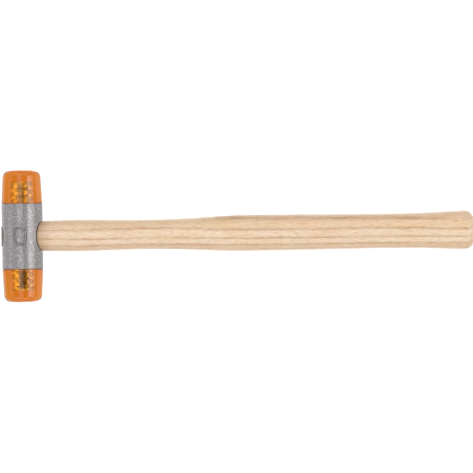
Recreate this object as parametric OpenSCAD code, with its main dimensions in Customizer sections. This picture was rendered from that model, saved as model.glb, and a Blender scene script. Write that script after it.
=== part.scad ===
// Soft face hammer lying on its side: handle along X, head along Y, thickness along Z.
// The origin is under the middle of its length, on the surface that it lies on.

/* [Head housing] */
// Outer diameter of the cast housing
head_d = 22; // [18:0.5:30]
// Length of the housing between its two machined ends
head_l = 35.4; // [32:0.2:60]
// Chamfer on the rim of each machined end
head_chamfer = 0.6; // [0.2:0.1:1.2]
// Height of the eye, along the head, where the handle goes in
eye_mouth_h = 16.4; // [13:0.2:18]
// Height of the eye on the far side
eye_far_h = 11.8; // [10:0.2:16]
// Thickness of the eye where the handle goes in
eye_mouth_t = 12.8; // [10:0.2:15]
// Thickness of the eye on the far side
eye_far_t = 10.2; // [8.8:0.2:15]
// Metal left between the eye and the bottom of a stud hole
eye_wall = 1.6; // [1:0.1:3]
// Height of the oval cast on the top of the housing, along the head
oval_h = 9.2; // [7:0.2:14]
// Width of that oval, across the head
oval_w = 6.2; // [4:0.2:7]
// Width of the raised rim round the oval
oval_rim = 0.7; // [0.4:0.1:1.2]
// Height of the rim above the top of the housing
oval_rise = 0.35; // [0.2:0.05:0.6]

/* [Striking faces] */
// Length of a plastic face, from its seat to the end that strikes
face_l = 17.7; // [15:0.1:30]
// Step from the housing's rim in to the seat end of a face
face_inset = 0; // [0:0.05:0.5]
// Diameter that the tapered side would reach at the striking end
face_tip_d = 20.2; // [16:0.1:22]
// Radius of the edge round the striking end
face_edge_r = 3.6; // [1:0.1:5]
// Chamfer on the edge of the seat end
face_chamfer = 0.3; // [0.1:0.1:0.6]

/* [Studs] */
// Outside diameter of a stud, on both of its threads
stud_d = 8; // [6:0.5:10]
// Pitch of the machine thread that screws into the housing
fine_pitch = 1.25; // [1:0.25:1.5]
// Depth of the machine thread
fine_depth = 0.65; // [0.4:0.05:0.9]
// Pitch of the coarse thread that holds in the plastic
coarse_pitch = 4; // [2.5:0.1:5]
// Depth of the coarse thread
coarse_depth = 1.1; // [0.6:0.05:1.5]
// Length of the coarse thread inside a face
stud_hold = 11.2; // [8:0.1:14]
// Length of plain neck between the two threads
stud_neck = 1; // [0.5:0.1:2]

/* [Handle] */
// Distance from the head's axis to the butt end of the handle
handle_reach = 244; // [200:1:320]
// Height of the swell behind the head
swell_h = 17.25; // [15:0.05:20]
// Height of the slim neck
waist_h = 16.15; // [14:0.05:19]
// Height of the grip
grip_h = 19.65; // [17:0.05:24]
// Height of the hollow behind the grip
hollow_h = 18.85; // [16:0.05:23]
// Height of the flared butt
butt_h = 21.3; // [18:0.05:26]
// Thickness of the swell behind the head
swell_t = 14.4; // [12:0.1:17]
// Thickness of the slim neck
waist_t = 13.6; // [11:0.1:16]
// Thickness of the grip
grip_t = 15.8; // [13:0.1:19]
// Thickness of the hollow behind the grip
hollow_t = 15.2; // [12:0.1:19]
// Thickness of the flared butt
butt_t = 16.8; // [13:0.1:20]
// Radius of the edge round the butt
butt_edge_r = 4.9; // [2:0.1:6]
// How far the dressed end of the tenon stands out of the round of the housing
tenon_proud = 0.3; // [0:0.1:1]

/* [Wedges] */
// Length of the wooden wedge
wood_wedge_l = 15; // [10:0.5:18]
// Thickness of the wooden wedge at its outer end
wood_wedge_t = 2.6; // [1.6:0.1:3.5]
// Thickness of the wooden wedge at its inner end
wood_wedge_tip = 0.8; // [0.5:0.1:1.4]
// Length of the steel wedge
steel_wedge_l = 9; // [6:0.5:9.5]
// Width of the steel wedge
steel_wedge_w = 8; // [5:0.5:9]
// Thickness of the steel wedge at its outer end
steel_wedge_t = 2; // [1.4:0.1:3]
// Thickness of the steel wedge at its inner end
steel_wedge_tip = 0.6; // [0.4:0.1:1]

/* [Fits] */
// Gap between the tenon and the wall of the eye
eye_gap = 0.05; // [0.02:0.01:0.1]
// Gap between a stud and the wall of its hole
stud_gap = 0.06; // [0.02:0.01:0.1]
// Gap between the end of a stud and the bottom of its hole
stud_end_gap = 0.5; // [0.3:0.1:1]
// Gap between a face and the machined end that it seats on
seat_gap = 0.05; // [0.02:0.01:0.1]
// Gap round a wedge that is driven into wood
wedge_gap = 0.02; // [0.01:0.01:0.05]
// Gap between each edge of the wooden wedge and the wall of the eye
wedge_side_gap = 0.4; // [0.2:0.1:1]

/* [Hidden] */

$fn = 64;
// How far a cut runs past the surface that it opens
overrun = 1;
head_r = head_d / 2;
tenon_reach = head_r + tenon_proud;
overall_l = tenon_reach + handle_reach;
head_x = tenon_reach - overall_l / 2;

// The butt droops until it touches the surface that the housing lies on.
butt_start = handle_reach - butt_edge_r;
droop = asin((head_r - butt_t / 2) / butt_start);

// Sides of a handle section, and how square its oval is
oval_sides = 32;
oval_power = 2.25;
// Steps along the free part of the handle, and round the edge of its butt
handle_steps = 34;
butt_steps = 5;
// Places of the handle's stations along its free length
place_shares = [0, 0.083, 0.224, 0.32, 0.443, 0.539, 0.794, 0.881, 1];
// How far each in-between station has gone from one named size to the next
rise_share = 0.17;
crest_share = 0.91;
flare_share = 0.13;

// Sides of a stud, and rings to each turn of its two threads
stud_sides = 18;
fine_rings = 6;
coarse_rings = 10;
// Length over which a thread runs out at each of its ends
stud_runout = 0.6;

stud_hole_r = stud_d / 2 + stud_gap;
stud_hole_l = head_l / 2 - eye_h(stud_hole_r) / 2 - eye_wall;
stud_grip = stud_hole_l - stud_end_gap;
face_hole_l = stud_hold + stud_end_gap - seat_gap;
// Depth of the drilled point at the bottom of a face's hole
face_point_share = 0.3;
face_arc_steps = 10;

// Teeth on each side of the steel wedge, and their depth in its thickness
barbs = 4;
barb_share = 0.12;

// Size of the eye at place x along the handle
function eye_h(x) = lookup(x, [[-head_r, eye_far_h], [head_r, eye_mouth_h]]);
function eye_t(x) = lookup(x, [[-head_r, eye_far_t], [head_r, eye_mouth_t]]);

// A value part of the way from one size to another
function mix(from, to, share) = from + (to - from) * share;

// Sizes at the handle's stations, from the eye to the butt
function stations(mouth, swell, waist, grip, hollow, butt) =
    [mouth, swell, waist, mix(waist, grip, rise_share), mix(waist, grip, crest_share), grip,
     hollow, mix(hollow, butt, flare_share), butt];

// A smooth curve through a table of [place, size] pairs
function slope(table, i) =
    let (before = table[max(i - 1, 0)], after = table[min(i + 1, len(table) - 1)])
    (after[1] - before[1]) / (after[0] - before[0]);
function span(table, i, x) =
    let (a = table[i], b = table[i + 1], w = b[0] - a[0], u = (x - a[0]) / w)
    a[1] * (2 * u^3 - 3 * u^2 + 1) + b[1] * (3 * u^2 - 2 * u^3)
    + slope(table, i) * w * (u^3 - 2 * u^2 + u) + slope(table, i + 1) * w * (u^3 - u^2);
function curve(table, x, i = 0) =
    i + 2 < len(table) && x > table[i + 1][0] ? curve(table, x, i + 1) : span(table, i, x);

places = [for (share = place_shares) mix(head_r, butt_start, share)];
heights = stations(eye_mouth_h - 2 * eye_gap, swell_h, waist_h, grip_h, hollow_h, butt_h);
thicks = stations(eye_mouth_t - 2 * eye_gap, swell_t, waist_t, grip_t, hollow_t, butt_t);
height_table = [for (i = [0 : len(places) - 1]) [places[i], heights[i]]];
thick_table = [for (i = [0 : len(places) - 1]) [places[i], thicks[i]]];

// One corner of a squarish oval section
function bulge(v) = sign(v) * abs(v)^(2 / oval_power);
function oval_point(h, t, a) = [h / 2 * bulge(cos(a)), t / 2 * bulge(sin(a))];

// Triangles between rings of as many points each, closed by a flat end on both sides
function ring_faces(count, sides) = concat(
    [[for (i = [0 : sides - 1]) i]],
    [for (k = [0 : count - 2], i = [0 : sides - 1])
        let (j = (i + 1) % sides) [k * sides + i, (k + 1) * sides + i, (k + 1) * sides + j]],
    [for (k = [0 : count - 2], i = [0 : sides - 1])
        let (j = (i + 1) % sides) [k * sides + i, (k + 1) * sides + j, k * sides + j]],
    [[for (i = [sides - 1 : -1 : 0]) (count - 1) * sides + i]]);

// A skin along X through oval rings, each [place, height, thickness]
module oval_skin(rings) {
    points = [for (ring = rings, i = [0 : oval_sides - 1])
        let (p = oval_point(ring[1], ring[2], i * 360 / oval_sides)) [ring[0], p[0], p[1]]];
    polyhedron(points, ring_faces(len(rings), oval_sides));
}

// Moves what is drawn about the crossing of the head's and the handle's axes to its place
module at_head() {
    translate([head_x, 0, head_r]) children();
}

// The same, turned about the head's axis as the handle droops
module along_handle() {
    at_head() rotate([0, droop, 0]) children();
}

// Turns what is drawn along Z to stand out of one end of the housing: 1 is the upper end
module at_end(side) {
    at_head() translate([0, side * head_l / 2, 0]) rotate([-side * 90, 0, 0]) children();
}

// A flat shape with round ends, h along Y and w along X
module round_ended(h, w) {
    square([w, h - w], center = true);
    for (side = [-1, 1]) translate([0, side * (h - w) / 2]) circle(d = w);
}

module housing_blank() {
    rotate([-90, 0, 0]) rotate_extrude() polygon([
        [0, -head_l / 2], [head_r - head_chamfer, -head_l / 2], [head_r, head_chamfer - head_l / 2],
        [head_r, head_l / 2 - head_chamfer], [head_r - head_chamfer, head_l / 2], [0, head_l / 2]]);
}

// The raised oval rim follows the round of the housing
module oval_mark() {
    intersection() {
        rotate([-90, 0, 0]) cylinder(r = head_r + oval_rise, h = head_l / 2, center = true);
        translate([0, 0, eye_mouth_t / 2 + eye_wall]) linear_extrude(head_r) difference() {
            round_ended(oval_h, oval_w);
            round_ended(oval_h - 2 * oval_rim, oval_w - 2 * oval_rim);
        }
    }
}

module eye() {
    oval_skin([for (x = [-head_r - overrun, -head_r, 0, head_r, head_r + overrun])
        [x, eye_h(x), eye_t(x)]]);
}

module head_housing() {
    color("darkgray") difference() {
        along_handle() {
            housing_blank();
            oval_mark();
        }
        along_handle() eye();
        for (side = [-1, 1]) at_end(side) translate([0, 0, -stud_hole_l])
            cylinder(r = stud_hole_r, h = stud_hole_l + overrun);
    }
}

// The side tapers to the striking end, and a round edge joins the two
module face(side) {
    base_r = head_r - face_inset;
    taper = atan((base_r - face_tip_d / 2) / face_l);
    arc_r = base_r - (face_edge_r + (face_l - face_edge_r) * sin(taper)) / cos(taper);
    arc = [for (k = [0 : face_arc_steps])
        let (a = mix(taper, 90, k / face_arc_steps))
        [arc_r + face_edge_r * cos(a), face_l + face_edge_r * (sin(a) - 1)]];
    color("darkorange") at_end(side) translate([0, 0, seat_gap]) rotate_extrude() polygon(concat(
        [[stud_hole_r, 0], [base_r - face_chamfer, 0], [base_r - face_chamfer * sin(taper), face_chamfer]],
        arc,
        [[0, face_l], [0, face_hole_l + stud_hole_r * face_point_share], [stud_hole_r, face_hole_l]]));
}

module upper_face() { face(1); }
module lower_face() { face(-1); }

// How much of a thread stands at place z between its two ends
function runout(z, from, to) = max(0, min(1, (z - from) / stud_runout, (to - z) / stud_runout));
// Radius of a stud at place z along it, in the direction a
function ridge(z, a, pitch, depth) = depth * (1 + cos(360 * z / pitch - a)) / 2;
function stud_r(z, a) = z < 0
    ? stud_d / 2 - fine_depth
        + ridge(z, a, fine_pitch, fine_depth) * runout(z, -stud_grip, -stud_neck / 2)
    : stud_d / 2 - coarse_depth
        + ridge(z, a, coarse_pitch, coarse_depth) * runout(z, stud_neck / 2, stud_hold);

// A right-hand machine thread below the seat, and a right-hand coarse one above it
module stud(side) {
    fine_steps = ceil((stud_grip - stud_neck / 2) / fine_pitch * fine_rings);
    coarse_steps = ceil((stud_hold - stud_neck / 2) / coarse_pitch * coarse_rings);
    rings = concat(
        [for (k = [0 : fine_steps]) mix(-stud_grip, -stud_neck / 2, k / fine_steps)],
        [for (k = [0 : coarse_steps]) mix(stud_neck / 2, stud_hold, k / coarse_steps)]);
    points = [for (z = rings, i = [0 : stud_sides - 1])
        let (a = -i * 360 / stud_sides, r = stud_r(z, a)) [r * cos(a), r * sin(a), z]];
    color("silver") at_end(side) polyhedron(points, ring_faces(len(rings), stud_sides));
}

module upper_stud() { stud(1); }
module lower_stud() { stud(-1); }

// Tapered outline of a wedge driven into the far end of the tenon, grown by a gap
function wedge_outline(l, t, tip, gap, past) = [
    [-tenon_reach - past, -t / 2 - gap], [-tenon_reach - past, t / 2 + gap],
    [-tenon_reach, t / 2 + gap], [l - tenon_reach + gap, tip / 2 + gap],
    [l - tenon_reach + gap, -tip / 2 - gap], [-tenon_reach, -t / 2 - gap]];

// The wooden wedge lies flat, along the head, and the steel one stands across it
module wood_wedge_shape(width, gap, past) {
    rotate([90, 0, 0]) linear_extrude(width, center = true)
        polygon(wedge_outline(wood_wedge_l, wood_wedge_t, wood_wedge_tip, gap, past));
}
module steel_wedge_shape(gap, past) {
    linear_extrude(steel_wedge_w + 2 * gap, center = true)
        polygon(wedge_outline(steel_wedge_l, steel_wedge_t, steel_wedge_tip, gap, past));
}

// The far end of the tenon and its wedges is dressed to the round of the housing
module dressed() {
    difference() {
        children();
        difference() {
            translate([-tenon_reach, 0, 0]) cube([tenon_reach, head_d, head_d] * 2, center = true);
            rotate([90, 0, 0]) cylinder(r = tenon_reach, h = head_l, center = true);
            translate([0, -head_d, -head_d]) cube(head_d * 2);
        }
    }
}

module handle() {
    tenon = [for (x = [-tenon_reach, -head_r, 0])
        [x, eye_h(x) - 2 * eye_gap, eye_t(x) - 2 * eye_gap]];
    body = [for (k = [0 : handle_steps])
        let (x = mix(head_r, butt_start, k / handle_steps))
        [x, curve(height_table, x), curve(thick_table, x)]];
    butt = [for (k = [1 : butt_steps])
        let (a = 90 * k / butt_steps, inset = butt_edge_r * (1 - cos(a)))
        [butt_start + butt_edge_r * sin(a), butt_h - 2 * inset, butt_t - 2 * inset]];
    color("burlywood") along_handle() dressed() difference() {
        oval_skin(concat(tenon, body, butt));
        wood_wedge_shape(head_d, wedge_gap, overrun);
        steel_wedge_shape(wedge_gap, overrun);
    }
}

module wooden_wedge() {
    color("peru") along_handle() dressed() difference() {
        wood_wedge_shape(eye_far_h - 2 * wedge_side_gap, 0, 0);
        steel_wedge_shape(wedge_gap, overrun);
    }
}

// Teeth on both flanks of the steel wedge point back out of the wood
module steel_wedge() {
    pitch = steel_wedge_l / (barbs + 1);
    color("dimgray") along_handle() dressed() difference() {
        steel_wedge_shape(0, 0);
        for (k = [1 : barbs], side = [-1, 1]) {
            x = k * pitch - tenon_reach;
            flank = mix(steel_wedge_t, steel_wedge_tip, k / (barbs + 1)) / 2;
            linear_extrude(steel_wedge_w + overrun, center = true) polygon([
                [x, side * (flank - steel_wedge_t * barb_share)], [x, side * steel_wedge_t],
                [x + pitch / 2, side * steel_wedge_t], [x + pitch / 2, side * flank]]);
        }
    }
}

head_housing();
upper_face();
lower_face();
upper_stud();
lower_stud();
handle();
wooden_wedge();
steel_wedge();
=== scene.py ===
# Soft face hammer, lying on its side on a white sweep and seen from straight above.
from math import asin, cos, pi, radians, sin, sqrt, tan

import bmesh
import bpy
from mathutils import Euler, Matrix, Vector


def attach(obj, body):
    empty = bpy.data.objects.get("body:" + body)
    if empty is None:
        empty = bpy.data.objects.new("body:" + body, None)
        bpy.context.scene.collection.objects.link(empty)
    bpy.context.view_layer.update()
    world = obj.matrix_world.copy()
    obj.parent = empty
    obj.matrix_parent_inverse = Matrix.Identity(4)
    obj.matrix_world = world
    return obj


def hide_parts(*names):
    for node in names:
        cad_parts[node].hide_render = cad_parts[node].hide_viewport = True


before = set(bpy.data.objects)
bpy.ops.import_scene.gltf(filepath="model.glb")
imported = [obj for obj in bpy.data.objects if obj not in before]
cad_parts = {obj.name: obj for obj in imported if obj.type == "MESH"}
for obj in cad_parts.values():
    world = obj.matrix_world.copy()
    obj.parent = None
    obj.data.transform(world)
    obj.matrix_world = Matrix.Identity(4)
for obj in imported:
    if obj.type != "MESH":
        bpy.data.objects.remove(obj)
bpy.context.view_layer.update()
mm = 0.001


# HEAD HOUSING
# A short iron casting with a tapered eye through its middle, shot-blasted to a dull grey skin.
# Both ends are turned flat with a small chamfer, then drilled and tapped for the studs.
head_r = 11 * mm
head_l = 35.4 * mm
head_x = -116.35 * mm
# The casting is over length until it is turned, by a round that is over width. What lies within a
# hair of a plane counts as on it.
cast_over = 4 * mm
turn_over = 0.5 * mm
near = 0.01 * mm
head_sides = 160
oval_sides = 96
# The eye and the handle share a squarish oval, where a power of 2 would be an ellipse. The eye's
# heights and thicknesses are those at its mouth, where it grips the tenon, and at its far end.
oval_power = 2.25
eye_mouth = (16.8 * mm, 13.2 * mm)
eye_snug = (14.94 * mm, 11.97 * mm)
eye_far = (11.8 * mm, 10.2 * mm)
snug_x = 4 * mm
mouth_chamfer = 0.5 * mm
far_chamfer = 0.4 * mm
rim_chamfer = 0.35 * mm
stud_hole_r = 4.06 * mm
stud_hole_l = 8.62 * mm
sink_l = 0.6 * mm
sink_flare = 1.3
oval_h = 9.6 * mm
oval_w = 6.6 * mm
oval_rim = 0.7 * mm
channel_r = 0.75 * mm
channel_lift = 0.38 * mm


def start(piece_name):
    """Takes the primitive that was just added, alone selected, as a new piece."""
    piece = bpy.context.object
    piece.name = piece.data.name = piece_name
    return piece


def only(piece):
    """Leaves one piece selected and active."""
    bpy.ops.object.select_all(action="DESELECT")
    piece.select_set(True)
    bpy.context.view_layer.objects.active = piece


def mark(piece, kind, test):
    """In edit mode, selects the corners, edges or faces whose middle passes the test."""
    bpy.ops.mesh.select_mode(type=kind)
    bpy.ops.mesh.select_all(action="DESELECT")
    mesh = bmesh.from_edit_mesh(piece.data)
    if kind == "VERT":
        for corner in mesh.verts:
            corner.select_set(bool(test(corner.co)))
    elif kind == "EDGE":
        for edge in mesh.edges:
            edge.select_set(bool(test((edge.verts[0].co + edge.verts[1].co) / 2)))
    else:
        for face in mesh.faces:
            face.select_set(bool(test(face.calc_center_median())))
    mesh.select_flush_mode()
    bmesh.update_edit_mesh(piece.data)


def apply_step(piece, kind, **settings):
    """Adds a modifier to a piece and applies it."""
    only(piece)
    step = piece.modifiers.new(kind.lower(), kind)
    for setting, value in settings.items():
        setattr(step, setting, value)
    bpy.ops.object.modifier_apply(modifier=step.name)


def machine(piece, tool, operation="DIFFERENCE"):
    """Cuts, joins or trims a piece with another solid, which is used up."""
    apply_step(piece, "BOOLEAN", object=tool, operation=operation, solver="MANIFOLD")
    bpy.data.objects.remove(tool)


def place(piece, location=(0, 0, 0), rotation=(0, 0, 0)):
    """Moves a piece that was modelled about the origin, and puts its place in its mesh."""
    only(piece)
    piece.location = location
    piece.rotation_euler = rotation
    bpy.ops.object.transform_apply(location=True, rotation=True, scale=True)


def oval_rod(name, rings, sides):
    """Extrudes a squarish oval along X through rings, each (place, height, thickness, radius or None).
    A ring with a radius lies on that round of the housing, on the side that its place is on."""
    bpy.ops.object.select_all(action="DESELECT")
    bpy.ops.mesh.primitive_circle_add(vertices=sides, radius=1, fill_type="NGON", rotation=(0, pi / 2, 0))
    rod = start(name)
    bpy.ops.object.transform_apply(rotation=True)
    bpy.ops.object.mode_set(mode="EDIT")
    for _ in rings[1:]:
        bpy.ops.mesh.extrude_region_move(TRANSFORM_OT_translate={"value": (1, 0, 0)})
    bpy.ops.object.mode_set(mode="OBJECT")
    for corner in rod.data.vertices:
        x, height, thick, radius = rings[round(corner.co.x)]
        _, c, s = corner.co
        y = height / 2 * abs(c) ** (2 / oval_power) * (1 if c > 0 else -1)
        z = thick / 2 * abs(s) ** (2 / oval_power) * (1 if s > 0 else -1)
        corner.co = (x if radius is None else sqrt(radius**2 - z**2) * (1 if x > 0 else -1), y, z)
    bpy.ops.object.mode_set(mode="EDIT")
    bpy.ops.mesh.select_all(action="SELECT")
    bpy.ops.mesh.normals_make_consistent(inside=False)
    bpy.ops.object.mode_set(mode="OBJECT")
    return rod


bpy.ops.object.select_all(action="DESELECT")
bpy.ops.mesh.primitive_cylinder_add(
    vertices=head_sides, radius=head_r, depth=head_l + cast_over, rotation=(pi / 2, 0, 0)
)
housing = start("cast_housing")
bpy.ops.object.transform_apply(rotation=True)

# The core that leaves the eye reaches past the housing at both sides, with a bevel at each end.
core_past = 4 * mm
flare = 0.4 * mm
far_slope = 1.7
far_wide = [size + 2 * (far_chamfer + flare) * far_slope for size in eye_far]
mouth_wide = (18.8 * mm, 18.4 * mm)
eye = oval_rod(
    "eye_core",
    [
        (-head_r - core_past, *far_wide, None),
        (-head_r, *far_wide, head_r + flare),
        (-head_r, *eye_far, head_r - far_chamfer),
        (snug_x, *eye_snug, None),
        (head_r, *eye_mouth, head_r - mouth_chamfer),
        (head_r, *mouth_wide, head_r + flare),
        (head_r + core_past, *mouth_wide, None),
    ],
    oval_sides,
)
machine(housing, eye)

# The sand leaves a rounded, pitted skin: even voxels, a little smoothing, then two sizes of grit.
apply_step(housing, "REMESH", mode="VOXEL", voxel_size=0.3 * mm)
apply_step(housing, "SMOOTH", factor=0.5, iterations=4)
for grit, rise in ((1.5 * mm, 0.04 * mm), (0.7 * mm, 0.02 * mm)):
    sand = bpy.data.textures.new("sand", "CLOUDS")
    sand.noise_scale = grit
    sand.noise_depth = 1
    apply_step(housing, "DISPLACE", texture=sand, texture_coords="LOCAL", strength=rise, mid_level=0.5)

# A raised oval rim is cast near the crown of the housing, in a channel that sets it off.
oval_tools = (("channel", channel_r, channel_lift, "DIFFERENCE"), ("rim", oval_rim / 2, 0, "UNION"))
for name, ring_r, lift, operation in oval_tools:
    bpy.ops.object.select_all(action="DESELECT")
    bpy.ops.mesh.primitive_torus_add(
        major_radius=(oval_w - oval_rim) / 2, minor_radius=ring_r,
        major_segments=oval_sides, minor_segments=16,
    )
    oval = start("oval_" + name)
    for corner in oval.data.vertices:
        corner.co.y += (oval_h - oval_w) / 2 * (1 if corner.co.y > 0 else -1)
        corner.co.z += sqrt(head_r**2 - corner.co.x**2) + lift
    machine(housing, oval, operation)

# Both ends are turned: a chamfered round, wider than the casting, trims its length.
bpy.ops.object.select_all(action="DESELECT")
bpy.ops.mesh.primitive_cylinder_add(
    vertices=head_sides, radius=head_r + turn_over, depth=head_l, rotation=(pi / 2, 0, 0)
)
turned = start("turned_ends")
bpy.ops.object.transform_apply(rotation=True)
bpy.ops.object.mode_set(mode="EDIT")
mark(turned, "EDGE", lambda p: abs(p.y) > head_l / 2 - near)
bpy.ops.mesh.bevel(offset=rim_chamfer + turn_over, offset_type="OFFSET", segments=1)
bpy.ops.object.mode_set(mode="OBJECT")
machine(housing, turned, "INTERSECT")

# The stud holes are drilled with a small countersink at the mouth.
for side in (-1, 1):
    bpy.ops.object.select_all(action="DESELECT")
    bpy.ops.mesh.primitive_cylinder_add(
        vertices=64,
        radius=stud_hole_r,
        depth=stud_hole_l,
        location=(0, side * (head_l - stud_hole_l) / 2, 0),
        rotation=(-side * pi / 2, 0, 0),
    )
    drill = start("stud_drill")
    bpy.ops.object.mode_set(mode="EDIT")
    mark(drill, "FACE", lambda p: p.z > stud_hole_l / 2 - near)
    bpy.ops.transform.translate(value=(0, -side * sink_l, 0))
    bpy.ops.mesh.extrude_region_move(TRANSFORM_OT_translate={"value": (0, side * 2 * sink_l, 0)})
    bpy.ops.transform.resize(
        value=(sink_flare, 1, sink_flare), center_override=(0, side * (head_l / 2 + sink_l), 0)
    )
    bpy.ops.object.mode_set(mode="OBJECT")
    machine(housing, drill)


def colour(hex_code):
    """An sRGB hex colour as linear red, green, blue and alpha."""
    channels = [int(hex_code[i : i + 2], 16) / 255 for i in (1, 3, 5)]
    return [c / 12.92 if c < 0.04045 else ((c + 0.055) / 1.055) ** 2.4 for c in channels] + [1]


def add_node(owner, kind, inputs=None, stops=(), **settings):
    """Adds a node to a material or a world. Inputs are values, nodes or their outputs, by socket,
    and stops are a colour ramp's, each with a hex colour or a grey value."""
    tree = owner.node_tree
    node = tree.nodes.new("ShaderNode" + kind)
    for name, value in settings.items():
        setattr(node, name, value)
    for socket, value in (inputs or {}).items():
        if isinstance(value, bpy.types.Node):
            value = value.outputs[0]
        if isinstance(value, bpy.types.NodeSocket):
            tree.links.new(value, node.inputs[socket])
        else:
            node.inputs[socket].default_value = value
    for i, (position, tone) in enumerate(stops):
        band = node.color_ramp.elements
        stop = band[i] if i < len(band) else band.new(position)
        stop.position = position
        stop.color = colour(tone) if isinstance(tone, str) else (tone, tone, tone, 1)
    return node


def bare_material(name):
    """A material with no shader yet, and the Object coordinates of the piece that wears it."""
    material = bpy.data.materials.new(name)
    material.use_nodes = True
    material.node_tree.nodes.clear()
    return material, add_node(material, "TexCoord").outputs["Object"]


# Shot-blasted iron under clear lacquer: a mottled mid grey, darker in its pits, with an even gloss.
# Shot marks are mostly finer than a pixel of the photograph, so both sizes are drawn coarser.
shot_mark = 0.9 * mm
fine_shot_mark = 0.5 * mm
cast_iron, spot = bare_material("lacquered_cast_iron")
grain, fine_grain = [
    add_node(cast_iron, "TexNoise", {"Vector": spot, "Scale": 1 / size, "Detail": 2, "Roughness": 0.6})
    for size in (shot_mark, fine_shot_mark)
]
tone = add_node(
    cast_iron, "ValToRGB", {"Fac": grain}, ((0.3, "#6e6a6b"), (0.5, "#8e8a8a"), (0.7, "#aba7a7"))
)
gloss = add_node(cast_iron, "ValToRGB", {"Fac": grain}, ((0.3, 0.28), (0.7, 0.24)))
pits = add_node(cast_iron, "Bump", {"Height": fine_grain, "Strength": 0.1, "Distance": 0.05 * mm})
skin = add_node(
    cast_iron, "BsdfPrincipled", {"Base Color": tone, "Roughness": gloss, "Normal": pits, "Metallic": 0.22}
)
add_node(cast_iron, "OutputMaterial", {"Surface": skin})

# Turned iron: brighter and smoother, with fine rings left by the tool. A wave texture repeats at
# every pi / 10 of its scaled coordinates.
tool_ring = 0.22 * mm
turned_iron, spot = bare_material("turned_iron")
centred = add_node(
    turned_iron, "Mapping", {"Vector": spot, "Location": (-head_x, 0, -head_r), "Scale": (1, 0, 1)}
)
tool_rings = add_node(
    turned_iron, "TexWave", {"Vector": centred, "Scale": pi / 10 / tool_ring, "Distortion": 0.6},
    wave_type="RINGS", rings_direction="SPHERICAL",
)
tone = add_node(turned_iron, "ValToRGB", {"Fac": tool_rings}, ((0, "#aeacaa"), (1, "#c8c6c4")))
ridges = add_node(turned_iron, "Bump", {"Height": tool_rings, "Strength": 0.25, "Distance": 0.03 * mm})
skin = add_node(
    turned_iron, "BsdfPrincipled", {"Base Color": tone, "Normal": ridges, "Metallic": 1, "Roughness": 0.4}
)
add_node(turned_iron, "OutputMaterial", {"Surface": skin})

# In the channel round the oval the iron is painted darker and dull: painted shade in that recess.
channel_shade_iron, spot = bare_material("cast_iron_painted_channel_shade")
channel_mottle = add_node(
    channel_shade_iron, "TexNoise", {"Vector": spot, "Scale": 1 / shot_mark, "Detail": 3, "Roughness": 0.6}
)
tone = add_node(channel_shade_iron, "ValToRGB", {"Fac": channel_mottle}, ((0.35, "#4a4646"), (0.65, "#757070")))
skin = add_node(channel_shade_iron, "BsdfPrincipled", {"Base Color": tone, "Roughness": 0.75})
add_node(channel_shade_iron, "OutputMaterial", {"Surface": skin})

# The bevel round the mouth of the eye is painted lighter than the skin, a painted highlight where the bevel
# catches the light, and satin.
bevel_highlight_iron, spot = bare_material("cast_iron_painted_bevel_highlight")
bevel_mottle = add_node(
    bevel_highlight_iron, "TexNoise", {"Vector": spot, "Scale": 1 / shot_mark, "Detail": 3, "Roughness": 0.6}
)
tone = add_node(bevel_highlight_iron, "ValToRGB", {"Fac": bevel_mottle}, ((0.35, "#aca8a6"), (0.65, "#ccc8c6")))
skin = add_node(bevel_highlight_iron, "BsdfPrincipled", {"Base Color": tone, "Roughness": 0.5, "Metallic": 0.3})
add_node(bevel_highlight_iron, "OutputMaterial", {"Surface": skin})

housing.data.materials.clear()
finishes = (cast_iron, turned_iron, channel_shade_iron, bevel_highlight_iron)
for finish in finishes:
    housing.data.materials.append(finish)
oval_margin = 1 * mm
channel_shade_depth = 0.18 * mm
bevel_highlight_depth = 0.1 * mm
for face in housing.data.polygons:
    p = face.center
    out = sqrt(p.x**2 + p.z**2)
    on_end = abs(p.y) > head_l / 2 - rim_chamfer - 2 * near
    in_hole = abs(p.y) > head_l / 2 - stud_hole_l - near and out < stud_hole_r + 2 * near
    at_oval = abs(p.y) < oval_h / 2 + oval_margin and abs(p.x) < oval_w / 2 + oval_margin and p.z > 0
    # Faces sunk in the channel round the oval take the darker iron, painted shade.
    in_channel_shade = at_oval and head_r - oval_margin < out < head_r - channel_shade_depth
    # Faces of the bevel at the mouth of the eye take the lighter iron, a painted highlight.
    at_mouth = p.x > snug_x and out < head_r - bevel_highlight_depth and face.normal.x > 0.4
    if on_end or in_hole:
        finish = turned_iron
    else:
        finish = bevel_highlight_iron if at_mouth else channel_shade_iron if in_channel_shade else cast_iron
    face.material_index = finishes.index(finish)
only(housing)
bpy.ops.object.shade_smooth_by_angle(angle=radians(32))

# The hammer lies on the housing and on the thinner butt, so it droops a little along the handle.
butt_start = 239.1 * mm
butt_high, butt_thick = 21.3 * mm, 16.8 * mm
droop = asin((head_r - butt_thick / 2) / butt_start)
place(housing, (head_x, 0, head_r), (0, droop, 0))
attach(housing, "hammer")
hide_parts("head_housing")


# HANDLE
# One piece of ash, turned and sanded to an oval that swells behind the head, slims at the neck,
# fills the palm and flares at the butt. Its tenon is slit for the wedges and dressed flush.
tenon_reach = 11.3 * mm
tenon_gap = 0.1 * mm
butt_edge_r = 4.9 * mm
butt_inset = 2.6 * mm
# Share of the way from the housing to the butt, height and thickness.
stations = [
    (0, 16.3 * mm, 12.7 * mm),
    (0.083, 17.25 * mm, 14.4 * mm),
    (0.224, 16.15 * mm, 13.6 * mm),
    (0.32, 16.745 * mm, 13.974 * mm),
    (0.443, 19.335 * mm, 15.602 * mm),
    (0.539, 19.65 * mm, 15.8 * mm),
    (0.794, 18.85 * mm, 15.2 * mm),
    (0.881, 19.169 * mm, 15.408 * mm),
    (1, butt_high, butt_thick),
]
places = [head_r + (butt_start - head_r) * share for share, _, _ in stations]


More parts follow.
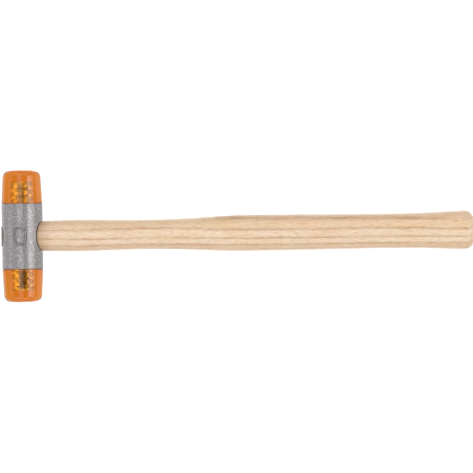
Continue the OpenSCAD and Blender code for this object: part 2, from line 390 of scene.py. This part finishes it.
def along(x, column):
    """Height or thickness of the handle at place x, on a smooth curve through the stations."""
    sizes = [station[column] for station in stations]
    i = max(k for k in range(len(places) - 1) if k == 0 or x >= places[k])
    slopes = []
    for k in (i, i + 1):
        before, after = max(k - 1, 0), min(k + 1, len(places) - 1)
        slopes.append((sizes[after] - sizes[before]) / (places[after] - places[before]))
    w = places[i + 1] - places[i]
    u = (x - places[i]) / w
    return (
        sizes[i] * (2 * u**3 - 3 * u**2 + 1) + sizes[i + 1] * (3 * u**2 - 2 * u**3)
        + slopes[0] * w * (u**3 - 2 * u**2 + u) + slopes[1] * w * (u**3 - u**2)
    )


# The tenon is cut a little long, and a narrow groove is left where the wood enters the iron.
rings = [
    (-tenon_reach - 1 * mm, 10.6 * mm, 8.2 * mm, None),
    (-8.6 * mm, 11.6 * mm, 8.8 * mm, None),
    (-7.6 * mm, 12.2 * mm, 10.4 * mm, None),
    (snug_x, eye_snug[0] - tenon_gap, eye_snug[1] - tenon_gap, None),
    (head_r, 15.5 * mm, 11.8 * mm, head_r - 1.1 * mm),
    (head_r, 15.9 * mm, 12.3 * mm, head_r - 0.8 * mm),
    (head_r, 16.25 * mm, 12.65 * mm, head_r - 0.5 * mm),
    (head_r, 16.4 * mm, 12.8 * mm, head_r + 0.2 * mm),
]
grip_rings = 64
for k in range(1, grip_rings + 1):
    x = head_r + (butt_start - head_r) * k / grip_rings
    rings.append((x, along(x, 1), along(x, 2), None))
edge_rings = 12
for k in range(1, edge_rings + 1):
    a = pi / 2 * k / edge_rings
    inset = butt_edge_r * (1 - cos(a))
    rings.append((butt_start + butt_edge_r * sin(a), butt_high - 2 * inset, butt_thick - 2 * inset, None))
handle = oval_rod("ash_handle", rings, oval_sides)

# The flat of the butt is inset, which keeps the shading of its round edge off the middle.
bpy.ops.object.mode_set(mode="EDIT")
mark(handle, "FACE", lambda p: p.x > butt_start + butt_edge_r - near)
bpy.ops.mesh.inset(thickness=butt_inset)
bpy.ops.object.mode_set(mode="OBJECT")

# The slits for the two wedges: length, thickness at the open end and at the tip, width, and whether
# the slit lies flat or stands.
slits = (
    ("wood", 15 * mm, 2.64 * mm, 0.84 * mm, 24 * mm, True),
    ("steel", 9 * mm, 2.04 * mm, 0.64 * mm, 8.04 * mm, False),
)
slit_past = 2 * mm
for name, length, thick, tip, width, flat in slits:
    bpy.ops.object.select_all(action="DESELECT")
    bpy.ops.mesh.primitive_cube_add(size=1, location=(length / 2 - tenon_reach, 0, 0))
    slit = start(name + "_slit")
    slit.scale = (length, width, thick) if flat else (length, thick, width)
    bpy.ops.object.transform_apply(location=True, scale=True)
    bpy.ops.object.mode_set(mode="EDIT")
    mark(slit, "FACE", lambda p: p.x > length - tenon_reach - near)
    narrowed = (1, 1, tip / thick) if flat else (1, tip / thick, 1)
    bpy.ops.transform.resize(value=narrowed, center_override=(length - tenon_reach, 0, 0))
    mark(slit, "FACE", lambda p: p.x < -tenon_reach + near)
    bpy.ops.mesh.extrude_region_move(TRANSFORM_OT_translate={"value": (-slit_past, 0, 0)})
    bpy.ops.object.mode_set(mode="OBJECT")
    machine(handle, slit)

# The end of the tenon is dressed to the round of the housing, by a tool whose other end is past the butt.
past_butt = 260 * mm
bpy.ops.object.select_all(action="DESELECT")
bpy.ops.mesh.primitive_cylinder_add(
    vertices=head_sides, radius=tenon_reach, depth=40 * mm, rotation=(pi / 2, 0, 0)
)
dressing = start("dressing")
bpy.ops.object.transform_apply(rotation=True)
for corner in dressing.data.vertices:
    if corner.co.x > -near:
        corner.co.x += past_butt
machine(handle, dressing, "INTERSECT")

# Sanded, waxed ash: pale summer wood between soft tan lines of open pores, which wander along the
# handle, break off and start again, with fine fibres, faint pink and straw patches and a low gloss.
ring_width = 3.6 * mm
ring_start = 0.11
ash, spot = bare_material("sanded_ash")
run_out = add_node(ash, "Mapping", {"Vector": spot, "Rotation": (0, 0, radians(0.75))})
# The rings wander in long, middling and short waves, each with a width, a length and a height.
waves = []
for width, length, rise in (
    (9 * mm, 150 * mm, 2 * mm), (3.2 * mm, 11 * mm, 0.8 * mm), (0.5 * mm, 4 * mm, 0.6 * mm)
):
    fibre = add_node(ash, "Mapping", {"Vector": run_out, "Scale": (width / length, 1, 1)})
    wander = add_node(ash, "TexNoise", {"Vector": fibre, "Scale": 1 / width, "Detail": 2, "Roughness": 0.5})
    waves.append((wander, rise))
# A growth ring is a distance from the pith, which lay below and to one side of the handle.
from_pith = add_node(
    ash, "Mapping", {"Vector": run_out, "Location": (0, 46 * mm, 18 * mm), "Scale": (0, 1, 1)}
)
growth = add_node(ash, "VectorMath", {0: from_pith}, operation="LENGTH").outputs["Value"]
for wander, rise in waves:
    growth = add_node(ash, "Math", {0: wander, 1: rise, 2: growth}, operation="MULTIPLY_ADD")
years = add_node(ash, "Math", {0: growth, 1: 1 / ring_width, 2: ring_start}, operation="MULTIPLY_ADD")
season = add_node(ash, "Math", {0: years}, operation="FRACT")
ring_tone = add_node(
    ash, "ValToRGB", {"Fac": season},
    (
        (0, "#d1b599"), (0.07, "#bea286"), (0.18, "#cfb497"),
        (0.4, "#dbc6ae"), (0.8, "#ddc9b2"), (0.95, "#d6bea5"),
    ),
)
# Each line fades out here and there along its length.
fibre = add_node(ash, "Mapping", {"Vector": run_out, "Scale": (0.12, 1, 1)})
fade = add_node(ash, "TexNoise", {"Vector": fibre, "Scale": 1 / (4 * mm), "Detail": 2, "Roughness": 0.6})
faded = add_node(ash, "ValToRGB", {"Fac": fade}, ((0.42, 0.0), (0.62, 0.8)))
broken = add_node(ash, "Mix", {0: faded, 6: ring_tone, 7: colour("#dac4ab")}, data_type="RGBA").outputs[2]
# Open pores: short dark dashes, thick in the spring wood and few elsewhere. Real pores are about
# 0.25 mm wide, too fine to show, so they are drawn wider.
fibre = add_node(ash, "Mapping", {"Vector": run_out, "Scale": (0.06, 1, 1)})
dashes = add_node(ash, "TexNoise", {"Vector": fibre, "Scale": 1 / (0.38 * mm), "Detail": 2, "Roughness": 0.7})
dash = add_node(ash, "ValToRGB", {"Fac": dashes}, ((0.36, 1.0), (0.52, 0.0)))
spring = add_node(ash, "ValToRGB", {"Fac": season}, ((0, 0.75), (0.14, 0.75), (0.3, 0.2), (1, 0.25)))
pores = add_node(ash, "Math", {0: dash, 1: spring}, operation="MULTIPLY")
pored = add_node(ash, "Mix", {0: pores, 6: broken, 7: colour("#aa8c70")}, data_type="RGBA").outputs[2]
# The inner and outer rings are tan and the middle ones pale, with faint pink and straw patches
# and fibres that lie along the board. Real fibres are too fine to show, so they are drawn wider.
heart = add_node(ash, "MapRange", {"Value": growth, "From Min": 48 * mm, "From Max": 68 * mm})
tan_wood = add_node(
    ash, "ValToRGB", {"Fac": heart},
    ((0.24, "#fef8f0"), (0.36, "#ffffff"), (0.66, "#ffffff"), (0.76, "#fdf6ec"), (0.86, "#fefaf4")),
)
fibre = add_node(ash, "Mapping", {"Vector": run_out, "Scale": (0.2, 1, 1)})
patches = add_node(ash, "TexNoise", {"Vector": fibre, "Scale": 1 / (5 * mm), "Detail": 2, "Roughness": 0.5})
patch = add_node(ash, "ValToRGB", {"Fac": patches}, ((0.34, "#fff5f0"), (0.5, "#ffffff"), (0.66, "#fdf8ec")))
fibre = add_node(ash, "Mapping", {"Vector": run_out, "Scale": (0.16, 1, 1)})
fibres = add_node(ash, "TexNoise", {"Vector": fibre, "Scale": 1 / (0.45 * mm), "Detail": 2, "Roughness": 0.6})
streak = add_node(ash, "ValToRGB", {"Fac": fibres}, ((0.32, "#ece4db"), (0.5, "#fdfbf8"), (0.66, "#ffffff")))
# The wood is greyed a little towards the iron, fading out a few millimetres beyond it. In the joint, all
# round where it enters the iron, and on the sawn end of the tenon, it is painted dark: painted shade in the
# joint and where the far end of the tenon lies in the shadow of the housing.
from_head = add_node(
    ash, "Mapping", {"Vector": spot, "Location": (-head_x, 0, -head_r), "Scale": (1, 0, 1)}
)
reach = add_node(ash, "VectorMath", {0: from_head}, operation="LENGTH").outputs["Value"]
beyond = add_node(ash, "MapRange", {"Value": reach, "From Min": 11 * mm, "From Max": 17 * mm})
near_iron_grey = add_node(ash, "ValToRGB", {"Fac": beyond}, ((0, "#e6d9cc"), (1, "#ffffff")))
tinted = pored
for wash in (tan_wood, patch, streak, near_iron_grey):
    tinted = add_node(
        ash, "Mix", {0: 1.0, 6: tinted, 7: wash}, data_type="RGBA", blend_type="MULTIPLY"
    ).outputs[2]
# Painted shade: a dark band where the wood meets the iron, and the sawn end of the tenon darkened.
off_joint_shade = add_node(ash, "MapRange", {"Value": reach, "From Min": 10.55 * mm, "From Max": 11.05 * mm})
place_x = add_node(ash, "SeparateXYZ", {"Vector": from_head})
sawn_end_shade = add_node(
    ash, "MapRange",
    {"Value": place_x, "From Min": -10 * mm, "From Max": -8 * mm, "To Min": 0.15, "To Max": 1.0},
)
unshaded_share = add_node(ash, "Math", {0: off_joint_shade, 1: sawn_end_shade}, operation="MULTIPLY")
joint_shaded_wood = add_node(ash, "Mix", {0: unshaded_share, 6: colour("#6a625c"), 7: tinted}, data_type="RGBA").outputs[2]
wax = add_node(ash, "ValToRGB", {"Fac": pores}, ((0.0, 0.32), (1.0, 0.58)))
sunk = add_node(ash, "Math", {0: 1.0, 1: pores}, operation="SUBTRACT")
sanding = add_node(ash, "Bump", {"Height": sunk, "Strength": 0.35, "Distance": 0.06 * mm})
skin = add_node(
    ash, "BsdfPrincipled",
    {
        "Base Color": joint_shaded_wood, "Roughness": wax, "Normal": sanding,
        "Sheen Weight": 0.4, "Sheen Roughness": 0.3,
    },
)
add_node(ash, "OutputMaterial", {"Surface": skin})

handle.data.materials.clear()
handle.data.materials.append(ash)
only(handle)
bpy.ops.object.shade_smooth_by_angle(angle=radians(35))
place(handle, (head_x, 0, head_r), (0, droop, 0))
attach(handle, "hammer")
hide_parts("handle")


# WEDGES
# A beech wedge is driven flat into the slit of the tenon, and a barbed steel one across it.
# Both are dressed with the tenon, so only their ends show, on the far side of the housing.
beech, spot = bare_material("split_beech")
fibre = add_node(beech, "Mapping", {"Vector": spot, "Scale": (0.08, 1, 1)})
streaks = add_node(
    beech, "TexNoise", {"Vector": fibre, "Scale": 1 / (0.5 * mm), "Detail": 4, "Roughness": 0.65}
)
tone = add_node(beech, "ValToRGB", {"Fac": streaks}, ((0.3, "#8d6443"), (0.5, "#b0845c"), (0.7, "#c39a70")))
split = add_node(beech, "Bump", {"Height": streaks, "Strength": 0.5, "Distance": 0.1 * mm})
skin = add_node(beech, "BsdfPrincipled", {"Base Color": tone, "Normal": split, "Roughness": 0.6})
add_node(beech, "OutputMaterial", {"Surface": skin})

# Mild steel as it was stamped: grey, with dull scale in patches.
stamped_steel, spot = bare_material("stamped_mild_steel")
scale = add_node(
    stamped_steel, "TexNoise", {"Vector": spot, "Scale": 1 / (1.2 * mm), "Detail": 4, "Roughness": 0.6}
)
tone = add_node(stamped_steel, "ValToRGB", {"Fac": scale}, ((0.35, "#76726e"), (0.65, "#aaa7a3")))
gloss = add_node(stamped_steel, "ValToRGB", {"Fac": scale}, ((0.35, 0.6), (0.65, 0.35)))
skin = add_node(stamped_steel, "BsdfPrincipled", {"Base Color": tone, "Roughness": gloss, "Metallic": 1})
add_node(stamped_steel, "OutputMaterial", {"Surface": skin})

for node, material in (("wooden_wedge", beech), ("steel_wedge", stamped_steel)):
    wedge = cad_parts[node]
    wedge.data.materials.clear()
    wedge.data.materials.append(material)


# STUDS
# Zinc-plated steel studs, one for each face: a machine thread that screws into the housing,
# a plain neck, and a coarse thread of 4 mm pitch with a plain nose that the plastic is moulded round.
# The grip is the length in the housing, and the hold the length in the plastic.
stud_r = 4 * mm
stud_grip = 8.12 * mm
stud_hold = 11.5 * mm
stud_neck_r = 3.2 * mm
stud_neck_l = 0.8 * mm
thread_end = 0.3 * mm
machine_thread = {"depth": 0.65 * mm, "groove": 1.0, "pitch": 1.25 * mm}
coarse_thread = {"depth": 0.9 * mm, "groove": 0.42, "pitch": 4 * mm}
tip_r = 2.9 * mm
tip_l = 1.2 * mm
nose_l = 1.5 * mm
nose_r = 3.63 * mm
nose_lap = 0.3 * mm
flat_turn = radians(14)
flat_depth = 0.25 * mm
flat_start = 1 * mm
round_sides = 48


def thread_rod(name, outer_r, depth, groove, pitch, low, high):
    """A rod along Z with a right-hand thread, a round groove between plain lands, cut flat at both ends.
    The groove is a share of the pitch."""
    bpy.ops.object.select_all(action="DESELECT")
    bpy.ops.mesh.primitive_plane_add(size=pitch)
    rod = start(name)
    bpy.ops.object.mode_set(mode="EDIT")
    mark(rod, "VERT", lambda p: p.x > 0)
    bpy.ops.mesh.delete(type="VERT")
    bpy.ops.mesh.select_all(action="SELECT")
    bpy.ops.mesh.subdivide(number_cuts=19)
    bpy.ops.object.mode_set(mode="OBJECT")
    turns = int((high - low) / pitch) + 3
    for corner in rod.data.vertices:
        share = corner.co.y / pitch
        cut = cos(pi * share / groove) ** 2 if abs(share) < groove / 2 else 0
        corner.co = (outer_r - depth * cut, 0, low + (share - 1) * pitch)
    apply_step(
        rod, "SCREW", axis="Z", angle=2 * pi, screw_offset=pitch, iterations=turns,
        steps=round_sides, render_steps=round_sides, use_smooth_shade=True,
    )
    bpy.ops.object.mode_set(mode="EDIT")
    bpy.ops.mesh.select_all(action="SELECT")
    bpy.ops.mesh.remove_doubles(threshold=0.001 * mm)
    for z, up in ((high, 1), (low, -1)):
        bpy.ops.mesh.select_all(action="SELECT")
        bpy.ops.mesh.bisect(
            plane_co=(0, 0, z), plane_no=(0, 0, up), use_fill=True, clear_outer=True, threshold=0.0001 * mm
        )
    bpy.ops.mesh.select_all(action="SELECT")
    bpy.ops.mesh.normals_make_consistent(inside=False)
    bpy.ops.object.mode_set(mode="OBJECT")
    return rod


def turned_round(name, rings, sides):
    """A solid of revolution about Z: a disc extruded and scaled through rings of (radius, height)."""
    bpy.ops.object.select_all(action="DESELECT")
    bpy.ops.mesh.primitive_circle_add(
        vertices=sides, radius=rings[0][0], fill_type="NGON", location=(0, 0, rings[0][1])
    )
    piece = start(name)
    bpy.ops.object.transform_apply(location=True)
    bpy.ops.object.mode_set(mode="EDIT")
    for (r0, z0), (r1, z1) in zip(rings, rings[1:]):
        bpy.ops.mesh.extrude_region_move(TRANSFORM_OT_translate={"value": (0, 0, z1 - z0)})
        bpy.ops.transform.resize(value=(r1 / r0, r1 / r0, 1), center_override=(0, 0, z1))
    bpy.ops.mesh.select_all(action="SELECT")
    bpy.ops.mesh.normals_make_consistent(inside=False)
    bpy.ops.object.mode_set(mode="OBJECT")
    return piece


def mill_flat(piece, depth):
    """Mills a narrow flat along the coarse thread up to the nose, which keeps the stud from turning
    in the plastic."""
    low, high = flat_start, stud_hold - nose_l
    bpy.ops.object.select_all(action="DESELECT")
    bpy.ops.mesh.primitive_cube_add(size=1, location=(0, stud_r * 1.5 - depth, (low + high) / 2))
    cutter = start("flat_mill")
    cutter.scale = (stud_r * 2, stud_r, high - low)
    bpy.ops.object.transform_apply(location=True, scale=True)
    cutter.rotation_euler = (0, 0, -flat_turn)
    bpy.ops.object.transform_apply(rotation=True)
    machine(piece, cutter)


stud = thread_rod("threaded_stud", stud_r, low=-stud_grip, high=-thread_end, **machine_thread)
holding = thread_rod("coarse_thread", stud_r, low=thread_end, high=stud_hold - nose_l, **coarse_thread)
machine(stud, holding, "UNION")
neck = [(stud_neck_r, -stud_neck_l), (stud_neck_r, stud_neck_l)]
machine(stud, turned_round("stud_neck", neck, round_sides), "UNION")
nose = [(stud_r, stud_hold - nose_l - nose_lap), (stud_r, stud_hold - nose_l), (nose_r, stud_hold)]
machine(stud, turned_round("stud_nose", nose, round_sides), "UNION")
# The tip of the machine thread is chamfered by a round that clears the rest of the stud.
clear_r = stud_r + 0.1 * mm
tip = [(tip_r, -stud_grip), (clear_r, tip_l - stud_grip), (clear_r, stud_hold + 1 * mm)]
machine(stud, turned_round("stud_chamfers", tip, round_sides), "INTERSECT")
mill_flat(stud, flat_depth)
only(stud)
bpy.ops.object.shade_smooth_by_angle(angle=radians(40))
milled = Vector((sin(flat_turn), cos(flat_turn), 0))
stud.data.materials.clear()
# 0 is the thread, 1 the flat and 2 the nose, in the order of the finishes below.
for side in stud.data.polygons:
    on_flat = side.normal.dot(milled) > 0.999 and side.center.dot(milled) > stud_r - flat_depth - near
    on_nose = side.center.z > stud_hold - nose_l
    side.material_index = 1 if on_flat else 2 if on_nose else 0
    if on_flat:
        side.use_smooth = False

# Zinc plate: a pale metal with a faint yellow cast and soft clouding, satin on the rolled threads,
# glossier on the turned nose and brightest on the milled flat.
zinc_finishes = (("thread", 0.46, 0.34), ("flat", 0.28, 0.2), ("nose", 0.4, 0.3))
for name, low_gloss, high_gloss in zinc_finishes:
    zinc, spot = bare_material("zinc_plate_" + name)
    clouding = add_node(
        zinc, "TexNoise", {"Vector": spot, "Scale": 1 / (1.8 * mm), "Detail": 3, "Roughness": 0.6}
    )
    tone = add_node(zinc, "ValToRGB", {"Fac": clouding}, ((0.35, "#c2bfaa"), (0.65, "#e6e3d0")))
    gloss = add_node(zinc, "ValToRGB", {"Fac": clouding}, ((0.35, low_gloss), (0.65, high_gloss)))
    skin = add_node(zinc, "BsdfPrincipled", {"Base Color": tone, "Roughness": gloss, "Metallic": 1})
    add_node(zinc, "OutputMaterial", {"Surface": skin})
    stud.data.materials.append(zinc)


# STRIKING FACES
# Clear amber cellulose acetate, moulded round the coarse end of its stud: a slightly tapered
# cylinder with a full round edge, screwed hand-tight against the turned end of the housing.
face_l = 17.7 * mm
face_draft = 0.9 * mm
face_edge_r = 3.6 * mm
face_edge_steps = 16
face_sides = 128
face_chamfer = 0.2 * mm
seat_gap = 0.05 * mm
mould_grip = 0.02 * mm
hollow_past = 1.2 * mm
taper = asin(face_draft / face_l)
arc_r = head_r - (face_edge_r + (face_l - face_edge_r) * sin(taper)) / cos(taper)
profile = [(head_r - face_chamfer, 0), (head_r - face_chamfer * tan(taper), face_chamfer)]
for k in range(face_edge_steps + 1):
    a = taper + (pi / 2 - taper) * k / face_edge_steps
    profile.append((arc_r + face_edge_r * cos(a), face_l + face_edge_r * (sin(a) - 1)))
profile.append((arc_r * 0.5, face_l))
face = turned_round("amber_face", [(r, z + seat_gap) for r, z in profile], face_sides)
# The hollow grips the stud by a hair, so that no air shows between steel and plastic.
hollow_r = stud_r - mould_grip
hollow = thread_rod(
    "moulded_thread", hollow_r, low=-hollow_past, high=stud_hold - nose_l, **coarse_thread
)
hollow_nose = [(r - mould_grip, z - mould_grip) for r, z in nose]
machine(hollow, turned_round("hollow_nose", hollow_nose, round_sides), "UNION")
mill_flat(hollow, flat_depth + mould_grip)
machine(face, hollow)
only(face)
bpy.ops.object.shade_smooth_by_angle(angle=radians(35))

# The plastic is clear and glossy, and deepens from straw at its thin edges to red-orange
# through its thickness, so its colour is in its volume and not on its skin.
amber, spot = bare_material("amber_cellulose_acetate")
flow = add_node(amber, "TexNoise", {"Vector": spot, "Scale": 1 / (3 * mm), "Detail": 2, "Roughness": 0.5})
handling = add_node(amber, "ValToRGB", {"Fac": flow}, ((0.3, 0.02), (0.7, 0.08)))
moulding = add_node(amber, "Bump", {"Height": flow, "Strength": 0.03, "Distance": 0.2 * mm})
skin = add_node(
    amber, "BsdfPrincipled",
    {
        "Base Color": colour("#ffffff"), "Roughness": handling, "Normal": moulding, "IOR": 1.48,
        "Transmission Weight": 1.0,
    },
)
tint = add_node(amber, "VolumeAbsorption", {"Color": (0.912, 0.648, 0.04, 1), "Density": 250})
add_node(amber, "OutputMaterial", {"Surface": skin, "Volume": tint})
face.data.materials.clear()
face.data.materials.append(amber)

# One of each is modelled. The upper end gets copies, turned round, and each stud turns with its face.
models = ((stud, "zinc_stud", "stud", "steel"), (face, "amber_face", "face", "amber_plastic"))
for side, end in ((1, "upper"), (-1, "lower")):
    for model, name, node, slot in models:
        piece = model if side < 0 else model.copy()
        if side > 0:
            piece.data = model.data.copy()
            bpy.context.collection.objects.link(piece)
        piece.name = piece.data.name = f"{end}_{name}"
        place(piece, (head_x, side * head_l / 2, head_r), (-side * pi / 2, 0, 0))
        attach(piece, f"{end}_face")
        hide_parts(f"{end}_{node}")


# SETTING
# A white acrylic sheet lit from below like a light table, in a studio whose walls are lighter and
# darker in bands that run along the head, with soft boxes on all sides.
bpy.ops.object.select_all(action="DESELECT")
bpy.ops.mesh.primitive_plane_add(size=4, location=(0, 0, -0.2 * mm))
floor = start("white_sweep")
sweep, _ = bare_material("white_acrylic_sheet")
skin = add_node(
    sweep, "BsdfPrincipled",
    {
        "Base Color": colour("#6a6a6a"), "Roughness": 0.8,
        "Emission Color": (1, 1, 1, 1), "Emission Strength": 1.0,
    },
)
add_node(sweep, "OutputMaterial", {"Surface": skin})
floor.data.materials.append(sweep)
# The sheet is seen, also through the plastic, but it isn't mirrored in the hammer and doesn't light
# it: the bands of the room do both.
floor.visible_glossy = False
floor.visible_diffuse = False

# The bands go round the head's length: 0.25 is straight down, 0.5 the butt's side, 0.75 straight up.
room = bpy.data.worlds.new("studio_room")
room.use_nodes = True
room.node_tree.nodes.clear()
sky = add_node(room, "TexCoord").outputs["Generated"]
on_side = add_node(room, "Mapping", {"Vector": sky, "Rotation": (radians(-90), 0, 0)})
around = add_node(room, "TexGradient", {"Vector": on_side}, gradient_type="RADIAL")
walls = add_node(
    room, "ValToRGB", {"Fac": around},
    (
        (0.0, 0.15), (0.035, 0.15), (0.055, 0.65), (0.085, 0.95), (0.19, 0.95), (0.22, 2.0), (0.28, 2.0),
        (0.32, 0.7), (0.4, 0.85), (0.47, 1.05), (0.49, 0.35), (0.505, 0.1), (0.66, 0.05), (0.71, 0.05),
        (0.73, 0.3), (0.8, 0.3), (0.82, 0.12), (0.88, 0.12), (0.92, 0.75), (0.955, 0.75), (0.98, 0.2),
        (1.0, 0.15),
    ),
)
glow = add_node(room, "Background", {"Color": walls, "Strength": 1.0})
add_node(room, "OutputWorld", {"Surface": glow})
bpy.context.scene.world = room

# Each soft box has a tilt along the head and one across it in degrees, a width and a length in
# metres, and a power in watts. All but the left one are mirrored in what is glossy.
box_far = 2
soft_boxes = (
    ("right", 0, 57.5, 1.66, 2.0, 24.0, True),
    ("right_middle", 0, 52, 0.48, 1.2, 4.0, True),
    ("overhead", 0, -5, 1.0, 2.0, 8.0, True),
    ("left", 0, -75, 2.2, 2.0, 40.0, False),
    ("back", -65, 0, 4.0, 0.7, 5.0, True),
    ("front", 65, 0, 4.0, 0.7, 7.0, True),
    ("upper_end", -43, 0, 3.0, 0.36, 11.0, True),
    ("lower_end", 43, 0, 3.0, 0.36, 11.0, True),
)
for name, pitch, lean, width, length, power, mirrored in soft_boxes:
    aim = Euler((radians(pitch), radians(lean), 0))
    stand = Vector((head_x, 0, 0)) + aim.to_matrix() @ Vector((0, 0, box_far))
    bpy.ops.object.light_add(type="AREA", location=stand, rotation=aim)
    box = bpy.context.object
    box.name = name + "_soft_box"
    box.data.shape = "RECTANGLE"
    box.data.size, box.data.size_y = width, length
    box.data.energy = power
    box.visible_camera = False
    box.visible_glossy = mirrored

# The photograph looks straight down from about 0.75 m, with the handle turned a little. A pixel of
# it is 0.5414 mm at about the height of the head's and the handle's outlines.
photo_pixels = 473
pixel = 0.5414 * mm
outline_z = 10 * mm
camera_far = 0.75
sensor = 36
bpy.ops.object.camera_add(
    location=(-0.68 * mm, -1.825 * mm, camera_far + outline_z), rotation=(0, 0, radians(-0.845))
)
camera = bpy.context.object
camera.name = "photo_camera"
camera.data.sensor_width = sensor
camera.data.lens = sensor * camera_far / (photo_pixels * pixel)
camera.data.clip_start = 0.01
bpy.context.scene.camera = camera
bpy.context.scene.view_settings.view_transform = "Standard"
